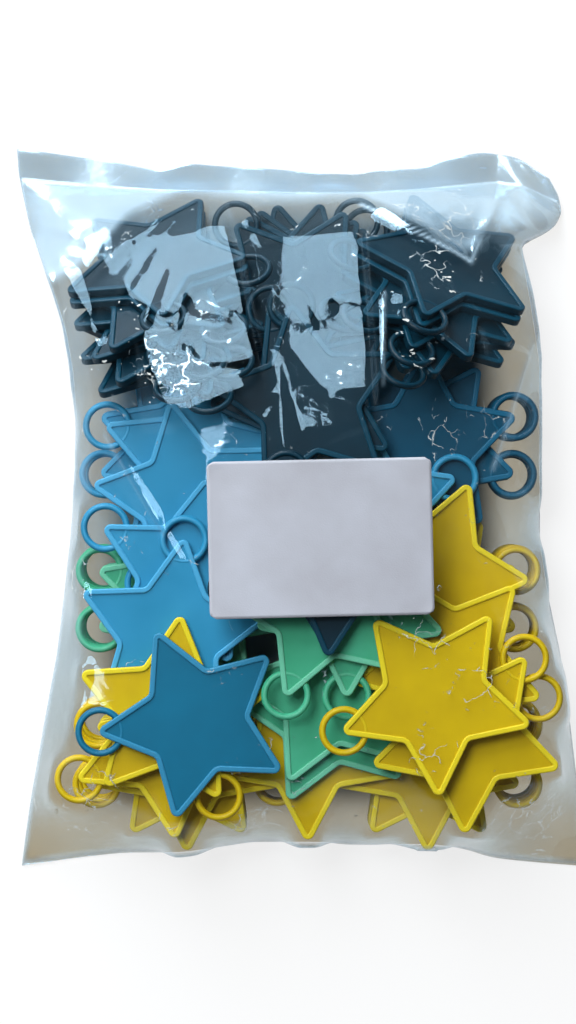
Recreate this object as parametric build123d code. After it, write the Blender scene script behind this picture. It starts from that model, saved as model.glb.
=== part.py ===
from build123d import *
import math
import os

# A sealed clear bag of star-shaped balloon weights, lying on its back.
# Millimetres, +Z up out of the label, +Y towards the header, the floor at zero.

# One weight: a star plate with a rounded bead round its rim and a ring at one tip
star_points = 5
star_tip_radius = 47.0
star_waist_radius = 24.4
tip_rounding = 3.0
waist_rounding = 3.0
plate_thickness = 2.8
bead_width = 2.6
bead_rise = 0.8
bead_rounding = 0.7
ring_outer_diameter = 22.5
ring_wire_diameter = 3.0

# The bag and its label
bag_width = 268.0
bag_length = 338.0
film_thickness = 0.35
weld_width = 2.0
label_width = 100.0
label_height = 70.0
label_corner = 3.0
label_thickness = 0.2
label_gap = 0.05
label_tilt = 1.3
label_x_share = 0.06
label_y_share = -0.08

# How the weights lie
stack_gap = 0.15
floor_gap = 0.2
crown_gap = 2.4
lean_tilt = 46.0
ring_sides = 16
tip_blunt_share = 0.8

# Values that follow from the ones above
point_angle = 360.0 / star_points
half_angle = point_angle / 2
star_height = plate_thickness + bead_rise
notch_x = star_waist_radius * math.cos(math.radians(half_angle))
notch_y = star_waist_radius * math.sin(math.radians(half_angle))
tip_half = math.atan2(notch_y, star_tip_radius - notch_x)
tip_reach = star_tip_radius - tip_rounding * (1 / math.sin(tip_half) - 1)
tip_blunt = tip_rounding * tip_blunt_share
ring_radius = ring_outer_diameter / 2
ring_reach = tip_reach + ring_radius
half_width = bag_width / 2
half_length = bag_length / 2
room_x = half_width - tip_reach
room_y = half_length - tip_reach
floor = film_thickness + floor_gap
pitch = star_height + stack_gap

# How the film swells over the pile: places across the bag between its two welds
swell_across_shares = (0.012, 0.045, 0.10, 0.18, 0.28, 0.53, 0.78, 0.87, 0.93, 0.965, 0.996)
# Places along the bag from its bottom edge to the header's: share of the half length,
# then the left and right edges as shares of the half width, then the film's height at
# those places across as shares of the crown, none where the film is welded flat
station_shares = (
    (-1.000, -0.985, 1.000, ()),
    (-0.975, -0.980, 0.995, ()),
    (-0.960, -0.978, 0.992, (0.06, 0.10, 0.13, 0.14, 0.17, 0.17, 0.17, 0.16, 0.13, 0.09, 0.06)),
    (-0.920, -0.972, 0.985, (0.13, 0.25, 0.38, 0.50, 0.67, 0.61, 0.64, 0.50, 0.35, 0.23, 0.13)),
    (-0.860, -0.961, 0.980, (0.17, 0.47, 0.64, 0.74, 0.84, 0.75, 0.90, 0.72, 0.50, 0.35, 0.16)),
    (-0.800, -0.950, 0.975, (0.36, 0.72, 0.78, 0.82, 0.85, 0.85, 0.95, 0.86, 0.79, 0.65, 0.25)),
    (-0.700, -0.928, 0.960, (0.28, 0.78, 0.84, 0.85, 0.86, 0.93, 0.95, 0.90, 0.88, 0.85, 0.34)),
    (-0.600, -0.905, 0.945, (0.28, 0.79, 0.84, 0.85, 0.88, 0.95, 0.95, 0.95, 0.92, 0.86, 0.70)),
    (-0.500, -0.882, 0.928, (0.28, 0.78, 0.84, 0.85, 0.89, 0.97, 0.96, 0.95, 0.90, 0.86, 0.78)),
    (-0.400, -0.860, 0.910, (0.34, 0.78, 0.84, 0.86, 0.92, 0.99, 0.97, 0.95, 0.90, 0.88, 0.50)),
    (-0.300, -0.845, 0.885, (0.47, 0.75, 0.79, 0.86, 1.00, 1.00, 1.00, 0.95, 0.84, 0.70, 0.53)),
    (-0.100, -0.815, 0.835, (0.60, 0.72, 0.77, 0.84, 1.00, 1.00, 1.00, 0.86, 0.70, 0.61, 0.53)),
    (0.250, -0.790, 0.835, (0.57, 0.74, 0.84, 0.96, 1.00, 1.00, 1.00, 0.84, 0.64, 0.57, 0.53)),
    (0.500, -0.830, 0.820, (0.53, 0.75, 0.86, 0.96, 1.00, 0.99, 1.00, 0.85, 0.68, 0.64, 0.59)),
    (0.600, -0.870, 0.800, (0.50, 0.65, 0.71, 0.81, 0.89, 0.89, 0.89, 0.75, 0.67, 0.64, 0.59)),
    (0.700, -0.920, 0.785, (0.17, 0.42, 0.54, 0.60, 0.70, 0.72, 0.70, 0.59, 0.50, 0.42, 0.25)),
    (0.780, -0.955, 0.785, (0.09, 0.21, 0.29, 0.36, 0.46, 0.53, 0.53, 0.39, 0.31, 0.24, 0.17)),
    (0.850, -0.975, 0.830, (0.05, 0.10, 0.14, 0.18, 0.25, 0.28, 0.29, 0.21, 0.14, 0.09, 0.06)),
    (0.890, -0.985, 0.870, (0.02, 0.05, 0.06, 0.07, 0.11, 0.13, 0.14, 0.11, 0.07, 0.05, 0.03)),
    (0.905, -0.988, 0.880, ()),
    (0.930, -0.995, 0.915, ()),
    (1.000, -1.000, 0.860, ()),
)
# The waviness of the header's free edge: share of the half width, then of the half length
header_wave_shares = ((-0.55, 0.972), (-0.10, 0.955), (0.30, 0.962), (0.60, 0.992))

# Columns of hidden weights: name, x and y as shares of the room, turns in order, count
column_shares = (
    ("stack_yellow_lower_left", -0.58, -0.90, (162, 198, 18, 342), 10),
    ("stack_yellow_lower_right", 0.64, -0.90, (18, 342), 10),
    ("stack_mint_left", -0.57, -0.335, (162, 198), 9),
    ("stack_yellow_right", 0.63, -0.335, (18, 342), 9),
    ("stack_sky_upper_left", -0.56, 0.23, (18, 198, 18, 342), 9),
    ("stack_blue_upper_right", 0.62, 0.23, (18, 342), 9),
    ("stack_petrol_top", -0.014, 0.795, (320, 44, 292, 52, 132), 5),
)
sway_shares = (0.0, 0.003, -0.003, 0.002, -0.002)

# Weights seen at the front, in the order they were laid: name, x share, y share, turn
front_shares = (
    ("weight_yellow_bottom", 0.03, -0.86, 54),
    ("weight_yellow_left_low", -0.68, -0.85, 203),
    ("weight_sky_upper", -0.54, 0.17, 158),
    ("weight_sky_second", -0.57, 0.04, 245),
    ("weight_sky_third", -0.57, -0.24, 151),
    ("weight_sky_fourth", -0.66, -0.46, 82),
    ("weight_sky_under_label", 0.32, -0.01, 20),
    ("weight_mint_low_back", 0.14, -0.74, 101),
    ("weight_mint_low", 0.14, -0.67, 101),
    ("weight_yellow_left_high", -0.66, -0.74, 300),
    ("weight_blue_front", -0.53, -0.77, 186),
    ("weight_yellow_right_upper", 0.66, -0.24, 140),
    ("weight_yellow_right_middle", 0.74, -0.55, 337),
    ("weight_yellow_right_low", 0.82, -0.82, 53),
    ("weight_mint_right", 0.24, -0.33, 268),
    ("weight_mint_left", 0.10, -0.35, 248),
    ("weight_petrol_top_back", 0.02, 0.40, 112),
    ("weight_petrol_top", 0.03, 0.39, 100),
    ("weight_petrol_label_back", 0.10, -0.16, 202),
    ("weight_petrol_label", 0.17, -0.18, 121),
    ("weight_yellow_front", 0.66, -0.68, 200),
)

# Rows that lean one behind another towards the header: name, x share, y share,
# the way downhill, and the turns from the first to the last
row_shares = (
    ("row_petrol_left", -0.75, 0.91, 101, (180, 252, 216, 180, 198, 216, 180, 198)),
    ("row_petrol_right", 0.73, 0.90, 68, (180, 108, 144, 180, 126, 180)),
)


def star_corners():
    """Tips and notches of the sharp star, turn about."""
    corners = []
    for step in range(star_points):
        tip = math.radians(step * point_angle)
        notch = math.radians(step * point_angle + half_angle)
        corners.append((star_tip_radius * math.cos(tip), star_tip_radius * math.sin(tip)))
        corners.append((star_waist_radius * math.cos(notch), star_waist_radius * math.sin(notch)))
    return corners


def star_face(inset):
    """The rounded star outline, drawn in by inset."""
    face = make_face(Polyline(*star_corners(), close=True).edges())
    between = (star_tip_radius + star_waist_radius) / 2
    tips = [v for v in face.vertices() if v.center().length > between]
    face = fillet(tips, tip_rounding)
    tip_start = tip_reach - tip_rounding
    notches = [v for v in face.vertices() if v.center().length < between]
    notches = [v for v in notches if v.center().length < tip_start]
    face = fillet(notches, waist_rounding)
    return offset(face, -inset) if inset else face


def star_weight():
    """One weight as moulded, flat on the floor with its ring towards +X."""
    outer = star_face(0)
    inner = star_face(bead_width)
    rim = extrude(outer - inner, star_height)
    top = rim.faces().sort_by(Axis.Z)[-1]
    rim = fillet(top.edges(), bead_rounding)
    plate = extrude(outer, plate_thickness)
    wire_radius = ring_wire_diameter / 2
    ring = Pos(tip_reach, 0, wire_radius) * Torus(ring_radius - wire_radius, wire_radius)
    return (plate + rim + ring).solids()[0]


def plan_outlines(x, y, turn):
    """The star and its ring seen from above, as two closed outlines of points."""
    star = []
    for step in range(star_points):
        tip = math.radians(step * point_angle)
        notch = math.radians(step * point_angle + half_angle)
        for side in (-tip_blunt, tip_blunt):
            star.append((tip_reach * math.cos(tip) - side * math.sin(tip),
                         tip_reach * math.sin(tip) + side * math.cos(tip)))
        star.append((star_waist_radius * math.cos(notch), star_waist_radius * math.sin(notch)))
    ring = []
    for step in range(ring_sides):
        angle = math.tau * step / ring_sides
        ring.append((tip_reach + ring_radius * math.cos(angle), ring_radius * math.sin(angle)))
    c = math.cos(math.radians(turn))
    s = math.sin(math.radians(turn))
    return [[(x + u * c - v * s, y + u * s + v * c) for u, v in line] for line in (star, ring)]


def sides_cross(a, b, c, d):
    """Whether the side from a to b crosses the side from c to d."""
    def side(p, q, r):
        return (q[0] - p[0]) * (r[1] - p[1]) - (q[1] - p[1]) * (r[0] - p[0])
    return side(a, b, c) * side(a, b, d) < 0 and side(c, d, a) * side(c, d, b) < 0


def holds(line, point):
    """Whether a closed outline has the point inside it."""
    inside = False
    for p, q in zip(line, line[1:] + line[:1]):
        if (p[1] > point[1]) != (q[1] > point[1]):
            at = p[0] + (point[1] - p[1]) * (q[0] - p[0]) / (q[1] - p[1])
            inside = inside != (point[0] < at)
    return inside


def outlines_overlap(first, second):
    """Whether two weights lie over one another in plan."""
    for a in first:
        for b in second:
            if holds(a, b[0]) or holds(b, a[0]):
                return True
            for p, q in zip(a, a[1:] + a[:1]):
                for r, s in zip(b, b[1:] + b[:1]):
                    if sides_cross(p, q, r, s):
                        return True
    return False


laid = []


def lay(x_share, y_share, turn):
    """Where a weight comes to rest: flat, on the highest one it lies over."""
    x = x_share * room_x
    y = y_share * room_y
    outlines = plan_outlines(x, y, turn)
    near = [one for one in laid if math.dist(one[0], (x, y)) < 2 * ring_reach]
    under = [top for place, other, top in near if outlines_overlap(outlines, other)]
    base = max(under) + stack_gap if under else floor
    laid.append(((x, y), outlines, base + star_height))
    return Location((x, y, base), (0, 0, turn))


def lean(x_share, y_share, downhill, turns):
    """Places of weights that lean one behind another, each with its foot on the floor."""
    tilt = math.radians(lean_tilt)
    across = math.radians(downhill)
    places = []
    first = None
    for order, turn in enumerate(turns):
        tips = [math.cos(math.radians(turn + step * point_angle)) for step in range(star_points)]
        foot = (tip_reach - tip_rounding) * max(tips) + tip_rounding
        foot = max(foot, tip_reach * tips[0] + ring_radius)
        height = floor + foot * math.sin(tilt)
        if first is None:
            first = height * math.cos(tilt)
        reach = (first - order * pitch - height * math.cos(tilt)) / math.sin(tilt)
        x = x_share * room_x + reach * math.cos(across)
        y = y_share * room_y + reach * math.sin(across)
        places.append(Pos(x, y, height) * Rot(Z=downhill) * Rot(Y=lean_tilt) * Rot(Z=turn))
    return places


def arch_points(station, outset):
    """One cross line of the film from right to left, outset from the room inside."""
    y_share, left_share, right_share, swell_shares = station
    left = left_share * half_width + weld_width - outset
    right = right_share * half_width - weld_width + outset
    base = film_thickness + outset
    flat = (0,) * len(swell_across_shares)
    points = [(left, y_share * half_length, base)]
    for across_share, swell_share in zip(swell_across_shares, swell_shares or flat):
        x = left + across_share * (right - left)
        points.append((x, y_share * half_length, base + swell_share * crown))
    points.append((right, y_share * half_length, base))
    return points[::-1]


def film_section(station):
    """The front film cut across: a weld along each edge and the arch between them."""
    y = station[0] * half_length
    left = station[1] * half_width
    right = station[2] * half_width
    low = film_thickness
    high = low + film_thickness
    outside = arch_points(station, film_thickness)
    inside = arch_points(station, 0)
    left_weld = Polyline(outside[-1], (left, y, high), (left, y, low), inside[-1])
    right_weld = Polyline(inside[0], (right, y, low), (right, y, high), outside[0])
    edges = Polyline(*outside).edges() + left_weld.edges()
    edges += Polyline(*reversed(inside)).edges() + right_weld.edges()
    return make_face(Wire(edges))


def label_section(station):
    """A layer of the label's thickness over the arch, clear of the film by its gap."""
    outside = arch_points(station, film_thickness + label_gap + label_thickness)
    inside = arch_points(station, film_thickness + label_gap)
    edges = Polyline(*outside).edges() + [Line(outside[-1], inside[-1])]
    edges += Polyline(*reversed(inside)).edges() + [Line(inside[0], outside[0])]
    return make_face(Wire(edges))


def header_edge():
    """The wavy free edge of the header, from its left corner to its right one."""
    y_share, left_share, right_share, swell_shares = station_shares[-1]
    y = y_share * half_length
    wave = [(x * half_width, y * half_length) for x, y in header_wave_shares]
    return Spline((left_share * half_width, y), *wave, (right_share * half_width, y))


def film_outline():
    """The flat outline of the film, waisted where the filling draws the edges in."""
    left = [(s[1] * half_width, s[0] * half_length) for s in station_shares]
    right = [(s[2] * half_width, s[0] * half_length) for s in station_shares]
    sides = Polyline(*reversed(left)).edges() + [Line(left[0], right[0])] + Polyline(*right).edges()
    return make_face(Wire([header_edge()] + sides))


def beyond_header():
    """The ground past the header's free edge."""
    top = header_edge()
    left = top @ 0
    right = top @ 1
    far = half_length + bag_length
    past = Polyline((right.X, right.Y), (right.X, far), (left.X, far), (left.X, left.Y))
    return make_face(Wire([top] + past.edges()))


os.makedirs("parts", exist_ok=True)
weight = star_weight()
nodes = {}

for order in range(max(column[-1] for column in column_shares)):
    for name, x_share, y_share, turns, count in column_shares:
        if order < count:
            x = x_share + sway_shares[order % len(sway_shares)]
            y = y_share + sway_shares[(2 * order + 1) % len(sway_shares)]
            place = lay(x, y, turns[order % len(turns)])
            nodes.setdefault(name, []).append(place * weight)

for name, x_share, y_share, turn in front_shares:
    nodes[name] = [lay(x_share, y_share, turn) * weight]

for name, x_share, y_share, downhill, turns in row_shares:
    placed = [place * weight for place in lean(x_share, y_share, downhill, turns)]
    nodes[name + "_first"] = placed[:1]
    nodes[name] = placed[1:]

pile_top = max(one.bounding_box().max.Z for group in nodes.values() for one in group)
crown = pile_top + crown_gap - film_thickness
film = loft([film_section(station) for station in station_shares], ruled=True)
nodes["bag_front_film"] = [film - extrude(beyond_header(), crown)]
nodes["bag_back_film"] = [extrude(film_outline(), film_thickness)]

raised = [station for station in station_shares if station[3]]
label_shell = loft([label_section(station) for station in raised], ruled=True)
label_shape = RectangleRounded(label_width, label_height, label_corner)
label_place = Pos(label_x_share * half_width, label_y_share * half_length) * Rot(Z=label_tilt)
label_block = Pos(0, 0, crown / 2) * extrude(label_place * label_shape, crown)
nodes["label"] = [label_shell & label_block]

for name, group in nodes.items():
    solids = [solid for shape in group for solid in shape.solids()]
    shape = solids[0] if len(solids) == 1 else Compound(children=solids)
    export_step(shape, "parts/" + name + ".step")
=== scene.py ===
import math

import bpy
import numpy as np
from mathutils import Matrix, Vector


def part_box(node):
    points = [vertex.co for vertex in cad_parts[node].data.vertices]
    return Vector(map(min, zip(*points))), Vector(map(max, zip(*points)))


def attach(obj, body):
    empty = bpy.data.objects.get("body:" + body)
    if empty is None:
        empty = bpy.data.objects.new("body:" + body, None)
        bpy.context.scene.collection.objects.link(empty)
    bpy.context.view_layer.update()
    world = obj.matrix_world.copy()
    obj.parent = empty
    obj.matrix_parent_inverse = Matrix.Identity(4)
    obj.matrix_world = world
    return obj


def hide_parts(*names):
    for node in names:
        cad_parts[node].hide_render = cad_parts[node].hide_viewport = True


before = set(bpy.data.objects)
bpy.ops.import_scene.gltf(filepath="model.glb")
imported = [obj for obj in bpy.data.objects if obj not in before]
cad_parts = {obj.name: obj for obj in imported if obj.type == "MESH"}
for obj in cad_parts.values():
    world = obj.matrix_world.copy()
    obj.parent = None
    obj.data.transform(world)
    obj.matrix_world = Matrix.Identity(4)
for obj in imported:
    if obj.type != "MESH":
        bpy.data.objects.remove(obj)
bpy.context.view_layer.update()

# A sealed clear bag of star-shaped balloon weights, lying on its back and seen from above.
# Shapes are worked out in millimetres and become metres when a mesh is made.
MM = 0.001
WEIGHTS = [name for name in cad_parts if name.split("_")[0] in ("stack", "weight", "row")]

# The film's edges, as drawn: (place along the bag, place across) for the sides,
# (place across, place along) for the other three
LEFT_EDGE = (
    (-169, -132), (-155, -130.2), (-135, -127.3), (-101, -121.3), (-68, -115.2), (-17, -109.2),
    (20, -106.5), (42, -105.9), (66, -108), (84, -111.2), (101, -116.6), (118, -123.3),
    (132, -128), (144, -130.6), (157, -133.3), (170, -134),
)
RIGHT_EDGE = (
    (-169, 134), (-155, 132), (-135, 130.6), (-101, 126.6), (-68, 121.9), (-40, 116),
    (-17, 112.5), (42, 112), (70, 112), (84, 109.9), (101, 107.2), (118, 104), (124, 103.5),
    (128, 113), (132, 119), (139, 122.5), (147, 120.5), (153, 117), (160, 113), (170, 108),
)
BOTTOM_EDGE = (
    (-134, -169), (-103, -164.5), (-84, -162.5), (-56, -162.4), (-36, -159.5), (-25, -157.5),
    (10, -157.5), (23, -159), (43, -158.5), (62, -158.6), (76, -160.5), (90, -165), (109, -167),
    (134, -169),
)
SEAL_LINE = (
    (-134, 155.5), (-95, 151.5), (-62, 149.5), (-6, 148.5), (27, 148.5), (57, 150), (94, 154),
    (105, 151), (123, 143),
)
TOP_EDGE = (
    (-134, 169), (-95, 164.2), (-66, 158.5), (-53, 162), (-10, 159.5), (8, 157.5), (27, 157),
    (34, 159), (58, 160), (66, 164.2), (86, 167.5), (102, 165), (111, 158), (123, 150),
)
# Above this line the film is crumpled and cloudy
CLOUDY_LINE = (
    (-134, 84), (-100, 108), (-80, 132), (-56, 144), (-20, 138), (28, 140), (76, 113), (84, 122),
    (104, 116), (123, 104),
)

# Folds of the front film: start, end, rise, width on the left and on the right of the way
FOLDS = (
    ((-48, 150), (-98, 100), 1.8, 2.0, 10),
    ((-47, 150), (-86, 86), 2.0, 2.0, 10),
    ((-46, 150), (-72, 76), 2.2, 2.0, 10),
    ((-44, 150), (-57, 68), 2.4, 2.0, 11),
    ((-38, 150), (-16, 46), 6.0, 4, 40),
    ((-72, 34), (-12, 58), 5.0, 42, 7),
    ((24, 150), (32, 28), 6.0, 4, 34),
    ((-8, 27), (38, 41), 5.0, 42, 6),
    ((26, 147), (79, 110), 4.5, 4.5, 8),
    ((77, 111), (94, 150), 3.0, 5, 4),
    ((37, 98), (36, 54), 0.9, 1.8, 1.8),
    ((88, 74), (109, 68), 2.5, 3, 6),
    ((107, 78), (84, 14), 2.6, 6, 7),
    ((-90, 34), (-60, -14), 2.2, 4, 6),
    ((-64, -8), (-52, -28), 1.6, 3, 4),
    ((112, -20), (70, -70), 1.4, 5, 5),
    ((-104, -20), (-98, -90), 2.0, 6, 6),
    ((-118, -120), (-60, -142), 1.6, 5, 5),
    ((20, -150), (60, -120), 1.4, 5, 5),
    ((118, -110), (96, -156), 1.8, 6, 6),
    ((-100, 60), (-96, 10), 1.8, 6, 6),
    ((-112, 118), (-88, 60), 2.0, 6, 6),
)
# Creases whitened by bending, painted brighter as crease highlights: start, end, width, strength
WHITENED_AND_PAINTED_CREASES = (
    ((27, 140), (50, 127), 1.0, 1.0),
    ((50, 127), (77, 112), 1.0, 1.0),
    ((77, 112), (93, 148), 1.2, 0.8),
    ((37, 97), (36, 55), 0.8, 0.5),
    ((-90, 34), (-62, -12), 0.8, 0.35),
    ((106, 76), (86, 18), 1.2, 0.5),
)
# Crinkles: region across and along, count, lengths, widths, rises, seed
CRINKLES = (
    ((-125, 125, -160, 150), 130, (8, 34), (1.8, 4.0), (0.2, 0.8), 3),
    ((52, 98, -106, -58), 40, (6, 22), (1.5, 2.6), (0.4, 0.9), 8),
    ((-122, 112, 110, 150), 46, (10, 32), (2.2, 5.0), (0.5, 1.6), 11),
    ((-128, 128, -164, -128), 30, (10, 30), (2.2, 5.0), (0.3, 1.1), 5),
)
# Places with painted glint lines over the crinkles: across, along, reach
PAINTED_GLINT_PLACES = (
    (82, -80, 17), (52, -62, 13), (60, -112, 12), (108, -148, 22), (-96, -128, 18), (-20, -150, 16),
    (-110, -30, 14), (60, 125, 20), (-60, 60, 14), (70, 40, 16),
)
# Places with painted glint flecks: across, along, reach
PAINTED_FLECK_PLACES = (
    (42, 84, 13), (54, 68, 11), (64, 100, 8), (-64, 64, 13), (-74, 84, 10), (-92, 70, 9), (20, 60, 9),
)

# The film, and the grids that the front and the back are worked out on
BAG_WIDTH = 268.0
FILM_WALL = 0.12
SEAM_HEIGHT = 0.9
BODY_ROWS = 206
HEADER_ROWS = 15
COLUMNS = 190
BACK_GRID = (120, 10, 110)

# How the front film settles: cells over which the pile is rounded where the film is slack and
# where it is taut, the place along the bag where it starts to be taut and the length over which
# it gets so, and the share of its own height that each place keeps in the last smoothing
POINT_SPACING = 0.8
PILE_CLEARANCE = 0.45
SLACK_ROUNDING = 3
TAUT_ROUNDING = 7
TAUT_START = 30
TAUT_LENGTH = 25
SETTLING_STEPS = (32, 16, 8, 4, 2, 1)
SETTLING_ROUNDS = 90
KEPT_HEIGHT = 0.35
# Folds begin this far inside the film's edge and are whole after this length more
FOLD_MARGIN = 1.5
FOLD_FADE = 6
# Round the label the film stays below a slope of this rise over this length
LABEL_SLOPE_RISE = 8
LABEL_SLOPE_LENGTH = 20.0

# How the weights lie, as the solids have it
FLOOR_LAYER = 0.55
LAYER_PITCH = 3.75
LEAN_TILT = math.radians(46.0)
# The heading, in degrees, that each leaning row's slope runs down
LEANING = {"row_petrol_left": 101, "row_petrol_right": 68}
UPRIGHT = (0, 0, 1)
# Heights within a layer between which the plate gives way to the bead, painted paler as a highlight
BEAD_START = 2.75
BEAD_FULL = 3.25

# The label, as the solid has it
LABEL_SIZE = (100.0, 70.0)
LABEL_CENTRE = (8.04, -13.52)
LABEL_TILT = math.radians(1.3)
LABEL_CORNER = 3.0
LABEL_WALL = 0.2
LABEL_GAP = 0.15
LABEL_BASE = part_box("label")[0][2] / MM + LABEL_GAP
LABEL_GRID = (72, 52)


def line(table, reach=3.0):
    """A drawn edge as a function: straight between its points, averaged over a short reach."""
    at, value = np.array(table, float).T
    shifts = np.linspace(-reach, reach, 7)
    return lambda place: np.mean([np.interp(place + shift, at, value) for shift in shifts], axis=0)


left_of = line(LEFT_EDGE)
right_of = line(RIGHT_EDGE, 2.0)
bottom_of = line(BOTTOM_EDGE, 5.0)
seal_of = line(SEAL_LINE, 6.0)
top_of = line(TOP_EDGE, 4.0)
cloudy_of = line(CLOUDY_LINE, 2.0)


def film_places(body_rows, header_rows, columns):
    """Grid places: x runs from the left to the right edge, y from the bottom edge to the seal
    over the body's rows and on to the header's free edge. Each depends on the other, so the
    pair is settled by repeating. The share of the way across comes with them."""
    across = np.linspace(0, 1, columns)[None, :]
    up = np.r_[np.linspace(0, 1, body_rows), 1 + np.linspace(0, 1, header_rows + 1)[1:]][:, None]
    x = (across - 0.5) * BAG_WIDTH + 0 * up
    y = x
    for _ in range(6):
        low, seal, top = bottom_of(x), seal_of(x), top_of(x)
        y = low + (seal - low) * np.minimum(up, 1) + (top - seal) * np.maximum(up - 1, 0)
        x = left_of(y) + across * (right_of(y) - left_of(y))
    return x, y, across + 0 * up


def pile_points(spacing):
    """Points over the upward faces of every weight, about one to each square of the spacing.
    A point of a triangle is a + r (b - a) + s (c - a), with r and s from an even sequence."""
    clouds = []
    for name in WEIGHTS:
        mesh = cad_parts[name].data
        mesh.calc_loop_triangles()
        places = np.empty(3 * len(mesh.vertices), np.float32)
        corners = np.empty(3 * len(mesh.loop_triangles), np.int32)
        mesh.vertices.foreach_get("co", places)
        mesh.loop_triangles.foreach_get("vertices", corners)
        a, b, c = places.reshape(-1, 3)[corners.reshape(-1, 3)].transpose(1, 0, 2) / MM
        normal = np.cross(b - a, c - a)
        upward = normal[:, 2] > 0
        a, b, c, normal = a[upward], b[upward], c[upward], normal[upward]
        count = np.ceil(np.linalg.norm(normal, axis=1) / 2 / spacing ** 2).astype(int)
        which = np.repeat(np.arange(len(a)), count)
        order = np.arange(len(which))
        r, s = (order * 0.7548776662) % 1, (order * 0.5698402910) % 1
        over = r + s > 1
        r, s = np.where(over, 1 - r, r), np.where(over, 1 - s, s)
        clouds.append(a[which] + r[:, None] * (b - a)[which] + s[:, None] * (c - a)[which])
    return np.concatenate(clouds)


def pile_heights(points):
    """The highest point of the pile under each place of the film's body, widened by a cell."""
    x, y, z = points.T
    up = (y - bottom_of(x)) / (seal_of(x) - bottom_of(x))
    across = (x - left_of(y)) / (right_of(y) - left_of(y))
    row = np.clip(np.rint(up * (BODY_ROWS - 1)).astype(int), 1, BODY_ROWS - 2)
    column = np.clip(np.rint(across * (COLUMNS - 1)).astype(int), 1, COLUMNS - 2)
    heights = np.zeros((BODY_ROWS, COLUMNS))
    np.maximum.at(heights, (row, column), z)
    return spread(heights, 1, np.max) + PILE_CLEARANCE


def around(grid, step):
    """The mean of each place's four neighbours a step away, with the rim repeated outwards."""
    wide = np.pad(grid, step, mode="edge")
    inner = slice(step, -step)
    before, after = slice(0, -2 * step), slice(2 * step, None)
    return (wide[before, inner] + wide[after, inner] + wide[inner, before] + wide[inner, after]) / 4


def spread(grid, reach, measure):
    """A measure, such as the highest or the mean, of the square of cells round each place: first
    along the columns, then along the rows."""
    rows, columns = grid.shape
    wide = np.pad(grid, ((reach, reach), (0, 0)), mode="edge")
    grid = measure([wide[i:i + rows] for i in range(2 * reach + 1)], axis=0)
    wide = np.pad(grid, ((0, 0), (reach, reach)), mode="edge")
    return measure([wide[:, j:j + columns] for j in range(2 * reach + 1)], axis=0)


def rounded(pile, reach):
    """The pile with its gaps bridged and its edges eased over a reach of cells."""
    return spread(spread(pile, reach, np.max), reach, np.mean)


def air(y):
    """How hard the air inside lifts the film: little over the pile, more in the loose shoulder
    below the seal."""
    return 0.0015 + 0.02 * np.exp(-((y - 138) / 16) ** 2) + 0.005 * np.exp(-((y - 100) / 30) ** 2)


def weld(film):
    """Holds the rim of the film's body down at the height of its seams."""
    film[0] = film[-1] = SEAM_HEIGHT
    film[:, 0] = film[:, -1] = SEAM_HEIGHT


def settle(pile, push):
    """A taut film over the pile: each place moves to the mean of its neighbours, a little
    pushed out by the air inside, but never below the pile. Wide steps come first."""
    film = np.maximum(pile, SEAM_HEIGHT)
    for step in SETTLING_STEPS:
        for _ in range(SETTLING_ROUNDS):
            film = np.maximum(pile, around(film, step) + push * step ** 2)
            weld(film)
    return film


def fold(x, y, start, end, rise, left, right, ends=0.2):
    """A straight fold: a tent along the line from start to end that falls to nothing over one
    width on its left and another on its right, and tapers over a share of its length."""
    along = np.array(end, float) - start
    length = np.hypot(*along)
    dx, dy = x - start[0], y - start[1]
    share = (dx * along[0] + dy * along[1]) / length ** 2
    aside = (along[0] * dy - along[1] * dx) / length
    fall = np.where(aside > 0, aside / left, -aside / right)
    return rise * np.clip(np.clip(np.minimum(share, 1 - share) / ends, 0, 1) - fall, 0, None)


def crinkles(x, y, region, count, length, width, rise, seed):
    """Many short folds in a region, with seeded places, headings and sizes."""
    draw = np.random.default_rng(seed)
    total = np.zeros_like(x)
    for _ in range(count):
        middle = np.array((draw.uniform(*region[:2]), draw.uniform(*region[2:])))
        heading = draw.uniform(0, math.pi)
        half = draw.uniform(*length) / 2 * np.array((math.cos(heading), math.sin(heading)))
        side = draw.uniform(*width)
        total += fold(x, y, middle - half, middle + half, draw.uniform(*rise), side, side, 0.5)
    return total


def stroke(x, y, start, end, width):
    """A line from start to end, one on the line and falling off as a bell on both sides."""
    along = np.array(end, float) - start
    dx, dy = x - start[0], y - start[1]
    share = np.clip((dx * along[0] + dy * along[1]) / (along @ along), 0, 1)
    away = np.hypot(dx - share * along[0], dy - share * along[1])
    return np.exp(-(away / width) ** 2)


def cloudiness(x, y, across):
    """Where the film is cloudy: the header and what lies above the cloudy line, a strip along
    the upper sides, the welds, and creases whitened by bending and painted brighter as highlights."""
    side = np.minimum(across, 1 - across) * BAG_WIDTH
    header = 0.7 * np.clip((y - cloudy_of(x)) / 7, 0, 1)
    strip = 0.3 * np.clip(1 - side / 16, 0, 1) * np.clip((y + 140) / 160, 0, 1)
    cloudy = np.maximum(header, strip)
    for away, width in ((side, 1.6), (y - seal_of(x), 0.8), (y - bottom_of(x) - 2, 1.0)):
        cloudy = np.maximum(cloudy, np.exp(-(away / width) ** 2))
    # The creases are whitened by bending and painted brighter as highlights
    for start, end, width, strength in WHITENED_AND_PAINTED_CREASES:
        cloudy = np.maximum(cloudy, strength * stroke(x, y, start, end, width))
    return cloudy


def patches(x, y, table):
    """Patches of the film: a bell round each place of the table."""
    bells = [np.exp(-((x - a) ** 2 + (y - b) ** 2) / reach ** 2) for a, b, reach in table]
    return np.max(bells, axis=0)


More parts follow.
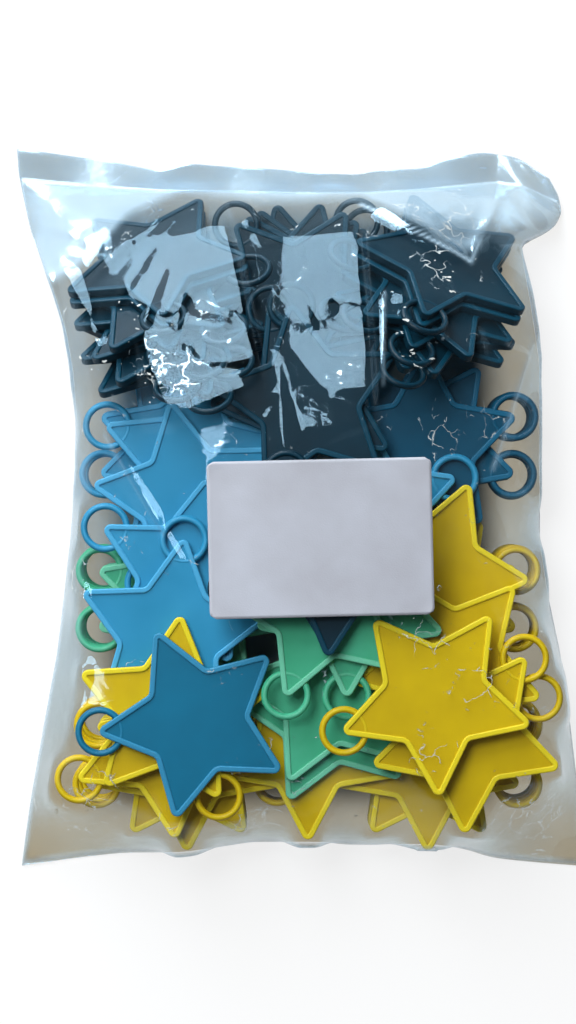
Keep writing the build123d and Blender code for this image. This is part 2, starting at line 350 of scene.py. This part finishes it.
def label_share(x, y, margin):
    """One inside the label's rectangle, falling to nothing a margin outside it."""
    dx, dy = x - LABEL_CENTRE[0], y - LABEL_CENTRE[1]
    u = dx * math.cos(LABEL_TILT) + dy * math.sin(LABEL_TILT)
    v = dy * math.cos(LABEL_TILT) - dx * math.sin(LABEL_TILT)
    past_u = np.maximum(np.abs(u) - LABEL_SIZE[0] / 2, 0)
    past_v = np.maximum(np.abs(v) - LABEL_SIZE[1] / 2, 0)
    return np.clip(1 - np.hypot(past_u, past_v) / margin, 0, 1)


def label_height(x, y):
    """The label's under side: nearly flat, a little bowed across and waved."""
    bow = ((x - LABEL_CENTRE[0]) / LABEL_SIZE[0]) ** 2
    return LABEL_BASE - 0.5 * bow + 0.12 * np.sin(x / 9.0 + y / 14.0)


def margin_lift(x, y):
    """How far the free header and its right corner stand off the floor: slow waves along the
    bag for the header, a raised flap with finer waves for the corner."""
    past = np.clip((y - seal_of(x)) / 12, 0, 1)
    waves = 1.3 + np.sin(x / 11.0 + 0.6) + 0.6 * np.sin(x / 5.3 + y / 9.0)
    flap = np.clip((x - 92) / 14, 0, 1) * np.clip((y - 122) / 8, 0, 1)
    return 1.1 * past * waves + 4.5 * flap * (1 + 0.4 * np.sin(x / 3.1 + y / 4.0))


def front_film():
    """The front film's grid: settled over the rounded pile, folded, flat under the label. Its
    cloudy share and its shares of painted glint lines and flecks come with it."""
    x, y, across = film_places(BODY_ROWS, HEADER_ROWS, COLUMNS)
    body = slice(0, BODY_ROWS)
    bx, by = x[body], y[body]
    pile = pile_heights(pile_points(POINT_SPACING))
    slack, taut = rounded(pile, SLACK_ROUNDING), rounded(pile, TAUT_ROUNDING)
    support = slack + (taut - slack) * np.clip((by - TAUT_START) / TAUT_LENGTH, 0, 1)
    under_label = label_height(bx, by) - LABEL_GAP
    plateau = np.where(label_share(bx, by, 1.0) > 0, under_label, 0)
    film = settle(np.maximum(support, plateau), air(by))
    pleats = np.max([fold(bx, by, *one) for one in FOLDS], axis=0)
    for one in CRINKLES:
        pleats += crinkles(bx, by, *one)
    side = np.minimum(across, 1 - across)[body] * BAG_WIDTH
    edge = np.minimum(side, np.minimum(by - bottom_of(bx), seal_of(bx) - by))
    film += pleats * np.clip((edge - FOLD_MARGIN) / FOLD_FADE, 0, 1)
    film = KEPT_HEIGHT * film + (1 - KEPT_HEIGHT) * around(film, 1)
    near = label_share(bx, by, LABEL_SLOPE_LENGTH)
    film = np.where(near > 0, np.minimum(film, under_label + LABEL_SLOPE_RISE * (1 - near)), film)
    film = np.maximum(film, np.maximum(pile, plateau))
    weld(film)
    header = np.repeat(film[-1:], HEADER_ROWS, axis=0)
    z = np.concatenate((film, header)) + margin_lift(x, y)
    shares = {"cloudy": cloudiness(x, y, across)}
    shares["painted_glint_share"] = patches(x, y, PAINTED_GLINT_PLACES)
    shares["painted_fleck_share"] = patches(x, y, PAINTED_FLECK_PLACES)
    return np.stack((x, y, z), axis=-1), shares


def back_film():
    """The back film's grid: flat on the floor, lifted where the header and the corner lift."""
    x, y, _ = film_places(*BACK_GRID)
    lift = margin_lift(x, y)
    ripple = 0.06 * (1 + np.sin(x / 4.0 + np.sin(y / 13.0)))
    z = 0.02 + ripple * np.clip(1 - lift, 0, 1) + lift
    return np.stack((x, y, z), axis=-1)


def label_grid(columns, rows):
    """The label's grid: x spans the width at each height, shortened round the corners, and the
    corners curl up a little."""
    s = np.linspace(-1, 1, columns)[None, :]
    v = np.linspace(-0.5, 0.5, rows)[:, None] * LABEL_SIZE[1]
    past = np.maximum(np.abs(v) - (LABEL_SIZE[1] / 2 - LABEL_CORNER), 0)
    half = LABEL_SIZE[0] / 2 - LABEL_CORNER + np.sqrt(LABEL_CORNER ** 2 - past ** 2)
    u, v = s * half, v + 0 * s
    x = LABEL_CENTRE[0] + u * math.cos(LABEL_TILT) - v * math.sin(LABEL_TILT)
    y = LABEL_CENTRE[1] + u * math.sin(LABEL_TILT) + v * math.cos(LABEL_TILT)
    towards_corner = 2 * np.abs(u) / LABEL_SIZE[0] + 2 * np.abs(v) / LABEL_SIZE[1]
    curl = 0.5 * np.clip((towards_corner - 1.75) / 0.25, 0, 1) ** 2
    return np.stack((x, y, label_height(x, y) + curl), axis=-1)


def thin_sheet(name, under, wall, shares=None):
    """A closed sheet: the grid as its under side, the same grid raised by the wall as its upper
    side, and a rim of quads round both. Shares become attributes of the mesh."""
    rows, columns, _ = under.shape
    upper = under + np.array((0, 0, wall))
    points = np.concatenate((upper.reshape(-1, 3), under.reshape(-1, 3))) * MM
    index = np.arange(rows * columns).reshape(rows, columns)
    corners = (index[:-1, :-1], index[:-1, 1:], index[1:, 1:], index[1:, :-1])
    quads = np.stack(corners, axis=-1).reshape(-1, 4)
    loop = np.concatenate((index[0, :-1], index[:-1, -1], index[-1, :0:-1], index[:0:-1, 0]))
    after = np.roll(loop, -1)
    below = rows * columns
    rim = np.stack((loop + below, after + below, after, loop), axis=-1)
    faces = np.concatenate((quads, quads[:, ::-1] + below, rim))
    mesh = bpy.data.meshes.new(name)
    mesh.from_pydata(points.tolist(), [], faces.tolist())
    mesh.shade_smooth()
    for key, share in (shares or {}).items():
        layer = mesh.attributes.new(key, "FLOAT", "POINT")
        layer.data.foreach_set("value", np.tile(share.ravel(), 2).astype(np.float32))
    piece = bpy.data.objects.new(name, mesh)
    bpy.context.collection.objects.link(piece)
    return piece


def row_normal(downhill):
    """The way a leaning row's faces look, from the heading that its slope runs down."""
    heading = math.radians(downhill)
    flat, rise = math.sin(LEAN_TILT), math.cos(LEAN_TILT)
    return (flat * math.cos(heading), flat * math.sin(heading), rise)


def lowest_along(name, up):
    """How far along a direction a node begins."""
    places = np.array([vertex.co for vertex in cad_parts[name].data.vertices])
    return float((places @ np.array(up)).min() / MM)


class Socket:
    """An output of a shader node. Sums, differences and products of it add Math nodes."""

    def __init__(self, tree, out=None):
        self.tree = tree
        self.out = out

    def add(self, kind, settings=None, sockets=None, give=0):
        """A new node: its settings, then its sockets' values or links. Gives one output."""
        node = self.tree.nodes.new(kind)
        for key, value in (settings or {}).items():
            setattr(node, key, value)
        for key, value in (sockets or {}).items():
            if isinstance(value, Socket):
                self.tree.links.new(value.out, node.inputs[key])
            else:
                node.inputs[key].default_value = value
        return Socket(self.tree, node.outputs[give]) if node.outputs else None

    def math(self, operation, first, second):
        """A Math node of two values."""
        return self.add("ShaderNodeMath", {"operation": operation}, {0: first, 1: second})

    def __add__(self, other):
        return self.math("ADD", self, other)

    __radd__ = __add__

    def __sub__(self, other):
        return self.math("SUBTRACT", self, other)

    def __rsub__(self, other):
        return self.math("SUBTRACT", other, self)

    def __mul__(self, other):
        return self.math("MULTIPLY", self, other)

    __rmul__ = __mul__

    def __pow__(self, other):
        return self.math("POWER", self, other)


def shader(owner):
    """An emptied node tree for a material or the world."""
    owner.use_nodes = True
    owner.node_tree.nodes.clear()
    return Socket(owner.node_tree)


def tone(red, green, blue):
    """A colour as it is seen on a screen, 0 to 255, as linear light."""
    parts = [v / 255 for v in (red, green, blue)]
    return tuple(v / 12.92 if v <= 0.04045 else ((v + 0.055) / 1.055) ** 2.4 for v in parts) + (1,)


def piece_place(nodes):
    """Where a point lies on its piece."""
    return nodes.add("ShaderNodeTexCoord", give="Object")


def attribute(nodes, name):
    """A share that the mesh carries."""
    return nodes.add("ShaderNodeAttribute", {"attribute_name": name}, give="Fac")


def part_of(nodes, vector, axis):
    """One coordinate of a vector."""
    return nodes.add("ShaderNodeSeparateXYZ", {}, {"Vector": vector}, axis)


def noise(nodes, where, scale, detail=3):
    """Soft noise of about so many spots to the metre."""
    return nodes.add("ShaderNodeTexNoise", {}, {
        "Vector": where, "Scale": scale, "Detail": detail, "Roughness": 0.55})


def cells(nodes, where, scale):
    """The distance to the nearest edge between irregular cells."""
    return nodes.add("ShaderNodeTexVoronoi", {"feature": "DISTANCE_TO_EDGE"}, {
        "Vector": where, "Scale": scale})


def drawn_out(nodes, where, turn, scale):
    """Places turned and stretched, for a pattern with a grain."""
    return nodes.add("ShaderNodeMapping", {}, {
        "Vector": where, "Rotation": (0, 0, turn), "Scale": scale})


def ramp(nodes, value, start, end, easing="LINEAR"):
    """Nothing up to the start, one from the end on."""
    return nodes.add("ShaderNodeMapRange", {"interpolation_type": easing}, {
        "Value": value, "From Min": start, "From Max": end})


def blend(nodes, share, first, second):
    """One colour giving way to another as the share goes from nothing to one."""
    return nodes.add("ShaderNodeMix", {"data_type": "RGBA"}, {"Factor": share, 6: first, 7: second}, 2)


def relief(nodes, height, strength, depth):
    """Surface normals from a height."""
    return nodes.add("ShaderNodeBump", {}, {
        "Height": height, "Strength": strength, "Distance": depth})


def moulded_plastic(name, face, deep, bead, up, start):
    """Moulded plastic: slow colour drift, a fine grain, faint drawn-out scuffs and a bead painted paler
    as a highlight.
    The weights lie in layers a pitch apart along up from the start, with the bead at the top of
    each layer, so the height within the layer tells where the bead is."""
    material = bpy.data.materials.new(name)
    nodes = shader(material)
    where = piece_place(nodes)
    grain = noise(nodes, where, 1400, 2)
    scuffs = noise(nodes, drawn_out(nodes, where, 0.7, (1200, 45, 400)), 1, 2)
    worn = ramp(nodes, scuffs, 0.62, 0.8)
    plate = blend(nodes, ramp(nodes, noise(nodes, where, 38), 0.3, 0.7), deep, face)
    height = nodes.add("ShaderNodeVectorMath", {"operation": "DOT_PRODUCT"}, {0: where, 1: up}, "Value")
    in_layer = nodes.math("FLOORED_MODULO", height * (1 / MM) - start, LAYER_PITCH)
    # The bead is painted paler than the plate: a painted highlight on the rounded rim
    bead_highlight_share = ramp(nodes, in_layer, BEAD_START, BEAD_FULL)
    surface = nodes.add("ShaderNodeBsdfPrincipled", {}, {
        "Base Color": blend(nodes, 0.75 * bead_highlight_share, plate, bead),
        "Roughness": 0.4 + 0.16 * (grain - 0.5) + 0.1 * worn,
        "Normal": relief(nodes, grain - 0.6 * worn, 0.05, 0.0003),
        "Specular IOR Level": 0.2})
    nodes.add("ShaderNodeOutputMaterial", {}, {"Surface": surface})
    return material


def painted_glint_lines(nodes, where):
    """Painted glints: thin bent lines painted where light would catch fine crinkles, the edges of
    warped cells, shown only in spots, and in more of them where the painted glint share is high."""
    bent = nodes.add("ShaderNodeTexNoise", {}, {"Vector": where, "Scale": 150, "Detail": 2}, "Color")
    warped = nodes.add("ShaderNodeVectorMath", {"operation": "MULTIPLY_ADD"}, {
        0: bent, 1: (0.012, 0.012, 0), 2: where})
    spots = 0.6 * noise(nodes, where, 60, 2) + 0.4 * noise(nodes, where, 260, 2)
    shown = ramp(nodes, spots + 0.18 * attribute(nodes, "painted_glint_share"), 0.6, 0.66)
    return ramp(nodes, cells(nodes, warped, 90), 0.03, 0.0) * shown


def painted_glint_flecks(nodes, where):
    """Short bright flecks, painted glints, only where the painted fleck share is high."""
    spots = noise(nodes, drawn_out(nodes, where, 0.6, (230, 440, 300)), 1, 2)
    return ramp(nodes, spots + 0.16 * attribute(nodes, "painted_fleck_share"), 0.765, 0.8)


def clear_film(name, clear, veil, mirror, sheen, pale, low=None):
    """Clear film: light goes straight through but for a thin veil and a gloss that grows at a
    slant. Cloudy film and welds are whiter and duller, and so are the crinkle lines and flecks,
    which are painted glints. The veil has the tone of the sheen, a pale tone where the film is
    cloudy, and may have a third low on the bag, which paints warm bounced light."""
    material = bpy.data.materials.new(name)
    nodes = shader(material)
    where = piece_place(nodes)
    cloudy = attribute(nodes, "cloudy")
    # Painted glints: crinkle lines and flecks, whitened and dulled in the veil
    painted_glint = nodes.math("MAXIMUM", painted_glint_lines(nodes, where), painted_glint_flecks(nodes, where))
    white = nodes.math("MAXIMUM", cloudy, 0.9 * painted_glint)
    fine = noise(nodes, where, 420, 2)
    waves = 0.7 * noise(nodes, where, 60) + 0.2 * cells(nodes, where, 60) ** 0.5 + 0.04 * fine
    bump = relief(nodes, waves, 0.35, 0.0012)
    slant = nodes.add("ShaderNodeLayerWeight", {}, {"Blend": 0.5, "Normal": bump}, "Facing")
    cloud = noise(nodes, where, 24, 2)
    # The low tone paints warm light bounced from the yellow weights onto the lower bag
    if low:
        sheen = blend(nodes, ramp(nodes, part_of(nodes, where, "Y"), -0.13, -0.05), low, sheen)
    haze = 0.34 * white * (0.6 + 0.8 * cloud) + 0.2 * painted_glint
    seen = veil * (0.5 + cloud) + haze + 0.018 + 0.6 * slant ** 5
    surface = nodes.add("ShaderNodeBsdfPrincipled", {}, {
        "Base Color": blend(nodes, painted_glint, blend(nodes, cloudy, sheen, pale), PAINTED_GLINT_TONE),
        "Metallic": mirror * (1 - 0.85 * white),
        "Roughness": 0.05 + 0.05 * fine + 0.2 * white,
        "Normal": bump})
    through = nodes.add("ShaderNodeBsdfTransparent", {}, {"Color": clear})
    mixed = nodes.add("ShaderNodeMixShader", {}, {0: seen, 1: through, 2: surface})
    nodes.add("ShaderNodeOutputMaterial", {}, {"Surface": mixed})
    return material


def label_paper(name):
    """Smooth white paper: faint fibres, slow greying and a soft sheen."""
    material = bpy.data.materials.new(name)
    nodes = shader(material)
    where = piece_place(nodes)
    fibres = noise(nodes, where, 1600)
    greying = noise(nodes, where, 26)
    surface = nodes.add("ShaderNodeBsdfPrincipled", {}, {
        "Base Color": blend(nodes, ramp(nodes, greying, 0.35, 0.7), *PAPER_TONES),
        "Roughness": 0.52 + 0.1 * fibres,
        "Normal": relief(nodes, fibres + 4 * greying, 0.2, 0.0004)})
    nodes.add("ShaderNodeOutputMaterial", {}, {"Surface": surface})
    return material


def seen_by_eye(nodes):
    """One for rays from the camera, mirror-like rays and rays through clear matter."""
    seen = nodes.add("ShaderNodeLightPath", give="Is Camera Ray")
    for which in ("Is Glossy Ray", "Is Transmission Ray"):
        seen = nodes.math("MAXIMUM", seen, nodes.add("ShaderNodeLightPath", give=which))
    return seen


# Tones of the plastics: the face, its deeper drift and the bead's painted highlight
COLOURS = {
    "petrol": (tone(0, 38, 52), tone(0, 26, 38), tone(2, 60, 80)),
    "blue": (tone(3, 102, 133), tone(2, 93, 122), tone(58, 140, 178)),
    "sky": (tone(42, 136, 176), tone(30, 125, 163), tone(78, 164, 206)),
    "mint": (tone(72, 176, 136), tone(50, 156, 114), tone(120, 202, 168)),
    "yellow": (tone(206, 172, 0), tone(188, 154, 0), tone(232, 212, 40)),
}
# A darker copy of the blue: painted shade for the column at the upper right
PAINTED_SHADE_BLUE = (tone(1, 74, 100), tone(1, 60, 84), tone(26, 104, 138))
PAPER_TONES = (tone(157, 157, 165), tone(170, 172, 182))
# The colour of the painted glints
PAINTED_GLINT_TONE = (0.96, 0.97, 0.92, 1)
FRONT_LOOK = {
    "clear": (0.985, 0.99, 0.995, 1),
    "veil": 0.003,
    "mirror": 1,
    "sheen": (0.52, 0.78, 0.97, 1),
    "pale": (0.62, 0.82, 0.97, 1),
}
# The back film's clear tint is darkened and warmed, painted shade and painted bounce light from the
# yellow weights; its blue veil is a painted sheen
BACK_LOOK_WITH_PAINTED_LIGHT = {
    "clear": (0.83, 0.785, 0.68, 1),
    "veil": 0.2,
    "mirror": 0.1,
    "sheen": (0.06, 0.4, 0.76, 1),
    "pale": (0.28, 0.46, 0.58, 1),
    "low": (0.14, 0.09, 0.01, 1),
}

# The weights get their plastics: one for each colour, one for each leaning row, whose layers
# are slanted, and a darker blue copy, painted shade, for the column at the upper right
plastics = {}
for colour, tones in COLOURS.items():
    plastics[colour] = moulded_plastic(colour + "_moulded_plastic", *tones, UPRIGHT, FLOOR_LAYER)
finish = {name: plastics[name.split("_")[1]] for name in WEIGHTS}
for name, downhill in LEANING.items():
    up = row_normal(downhill)
    start = lowest_along(name + "_first", up)
    plastic = moulded_plastic(name + "_plastic", *COLOURS["petrol"], up, start)
    finish[name] = finish[name + "_first"] = plastic
painted_shade_plastic = moulded_plastic("painted_shade_blue_moulded_plastic", *PAINTED_SHADE_BLUE, UPRIGHT, FLOOR_LAYER)
finish["stack_blue_upper_right"] = painted_shade_plastic
for name, plastic in finish.items():
    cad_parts[name].data.materials.clear()
    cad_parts[name].data.materials.append(plastic)

# The films and the label
front_points, front_shares = front_film()
front_piece = thin_sheet("front_film", front_points, FILM_WALL, front_shares)
front_piece.data.materials.append(clear_film("clear_front_film", **FRONT_LOOK))
back_piece = thin_sheet("back_film", back_film(), FILM_WALL)
back_piece.data.materials.append(clear_film("clear_back_film", **BACK_LOOK_WITH_PAINTED_LIGHT))
label_piece = thin_sheet("bare_label", label_grid(*LABEL_GRID), LABEL_WALL)
label_piece.data.materials.append(label_paper("white_label_paper"))

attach(front_piece, "root")
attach(back_piece, "root")
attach(label_piece, "root")
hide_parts("bag_front_film")
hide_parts("bag_back_film")
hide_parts("label")

# The floor is pale paper with a glow that the eye sees, and has no glow under the bag
FLOOR_HALF = 6
FLOOR_DROP = 0.0004
SHELTERED = {"X": 0.1, "Y": 0.148}
SHELTER_EDGE = 0.02
floor_sides = ((-1, -1), (1, -1), (1, 1), (-1, 1))
floor_corners = [(FLOOR_HALF * x, FLOOR_HALF * y, -FLOOR_DROP) for x, y in floor_sides]
floor_mesh = bpy.data.meshes.new("floor")
floor_mesh.from_pydata(floor_corners, [], [(0, 1, 2, 3)])
floor = bpy.data.objects.new("floor", floor_mesh)
bpy.context.collection.objects.link(floor)
floor_material = bpy.data.materials.new("pale_floor")
nodes = shader(floor_material)
where = piece_place(nodes)
covered = 1
for axis, reach in SHELTERED.items():
    away = nodes.add("ShaderNodeMath", {"operation": "ABSOLUTE"}, {0: part_of(nodes, where, axis)})
    covered = covered * ramp(nodes, away, reach, reach - SHELTER_EDGE, "SMOOTHSTEP")
paper = blend(nodes, covered, (0.2, 0.2, 0.2, 1), (0.72, 0.72, 0.72, 1))
matt = nodes.add("ShaderNodeBsdfDiffuse", {}, {"Color": paper})
glow = nodes.add("ShaderNodeEmission", {}, {
    "Color": (1, 1, 1, 1), "Strength": 0.79 * (1 - covered) * seen_by_eye(nodes)})
surface = nodes.add("ShaderNodeAddShader", {}, {0: matt, 1: glow})
nodes.add("ShaderNodeOutputMaterial", {}, {"Surface": surface})
floor_mesh.materials.append(floor_material)

# The room: dim overhead, brighter low down and towards the window
world = bpy.data.worlds.new("studio")
bpy.context.scene.world = world
nodes = shader(world)
heading = nodes.add("ShaderNodeTexCoord", give="Generated")
low_sky = ramp(nodes, part_of(nodes, heading, "Z"), 0.6, 0.1, "SMOOTHSTEP")
window_side = ramp(nodes, part_of(nodes, heading, "X"), 0.6, -0.4)
sky = nodes.add("ShaderNodeBackground", {}, {
    "Color": (0.95, 0.98, 1, 1), "Strength": 0.08 + low_sky * (0.25 + 0.4 * window_side)})
nodes.add("ShaderNodeOutputWorld", {}, {"Surface": sky})


def soft_box(name, place, target, size, radiance):
    """A rectangular lamp of even brightness, aimed at a place."""
    lamp = bpy.data.lights.new(name, "AREA")
    lamp.shape = "RECTANGLE"
    lamp.size, lamp.size_y = size
    lamp.energy = 4 * radiance * size[0] * size[1]
    lamp.color = (0.92, 0.97, 1)
    piece = bpy.data.objects.new(name, lamp)
    piece.location = place
    piece.rotation_mode = "QUATERNION"
    piece.rotation_quaternion = (Vector(target) - Vector(place)).to_track_quat("-Z", "Y")
    piece.visible_camera = False
    bpy.context.collection.objects.link(piece)


LAMP_RADIANCE = 9
soft_box("tall_window", (-0.56, 1.39, 0.9), (0, 0, 0.9), (0.97, 1.8), LAMP_RADIANCE)
soft_box("skylight", (-0.496, 0.496, 1.438), (0, 0, 0.05), (0.8, 0.6), LAMP_RADIANCE)

# The camera looks straight down
camera = bpy.data.cameras.new("camera")
camera.lens = 94.7
camera.sensor_width = 36
camera_piece = bpy.data.objects.new("camera", camera)
camera_piece.location = (-0.0064, -0.0019, 1.271)
bpy.context.collection.objects.link(camera_piece)
bpy.context.scene.camera = camera_piece
bpy.context.scene.view_settings.view_transform = "Standard"
